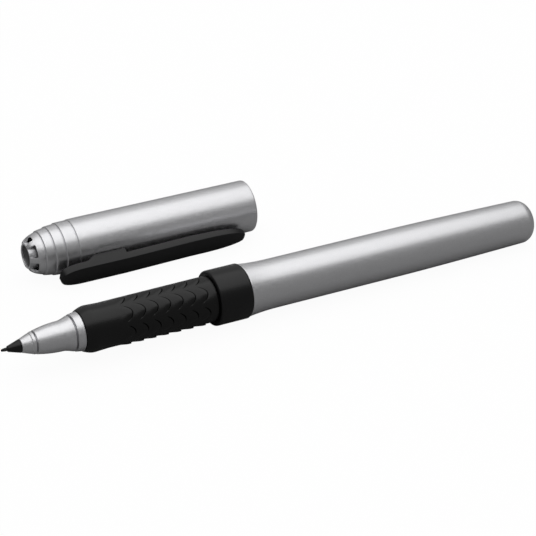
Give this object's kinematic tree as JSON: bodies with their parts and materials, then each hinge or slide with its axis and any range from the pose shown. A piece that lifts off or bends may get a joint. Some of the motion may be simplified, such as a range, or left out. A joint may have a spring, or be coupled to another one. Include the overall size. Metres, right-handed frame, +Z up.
{
  "type": "permanent marker",
  "caption": "Slim permanent marker with an ultra-fine nib, silver nose and barrel, scaled rubber grip, and a push-on cap with vented crown and sprung pocket clip laid beside it.",
  "frame": {"origin": "on the desk under the middle of the set's bounding box", "axes": "+X from the marker's tip towards its tail, +Y from the marker towards the cap lying beside it, +Z up from the desk"},
  "size_m": [0.1314, 0.0496, 0.0124],
  "materials": {
    "silver_plastic": "satin silver, metallic pigment",
    "black_plastic": "satin black",
    "black_rubber": "matt, moulded scales",
    "inked_point": "ink-soaked fibre",
    "inked_fibre": "ink-soaked fibre core",
    "clear_film": "thin film"
  },
  "bodies": {
    "pen": {"nib": "inked_point", "nib_holder": "black_plastic", "tip_ferrule": "silver_plastic", "nose_cone": "silver_plastic", "front_section": "silver_plastic", "grip_sleeve": "black_rubber", "collar": "black_plastic", "barrel": "silver_plastic", "ink_reservoir": "inked_fibre", "reservoir_wrap": "clear_film"},
    "cap": {"cap_shell": "silver_plastic", "cap_liner": "black_plastic"},
    "clip": {"pocket_clip": "black_plastic"}
  },
  "joints": [
    {"name": "cap_slide", "type": "slide", "parent": "pen", "child": "cap", "axis": [-0.9997, 0.026, 0], "range_m": [0, 0.0775]},
    {"name": "clip_flex", "type": "hinge", "parent": "cap", "child": "clip", "pos_m": [-0.02667, 0.0129, 0.00366], "axis": [0.0105, 0.4043, -0.9146], "range_deg": [0, 2.2], "stiffness_Nm_per_rad": 2.7}
  ]
}
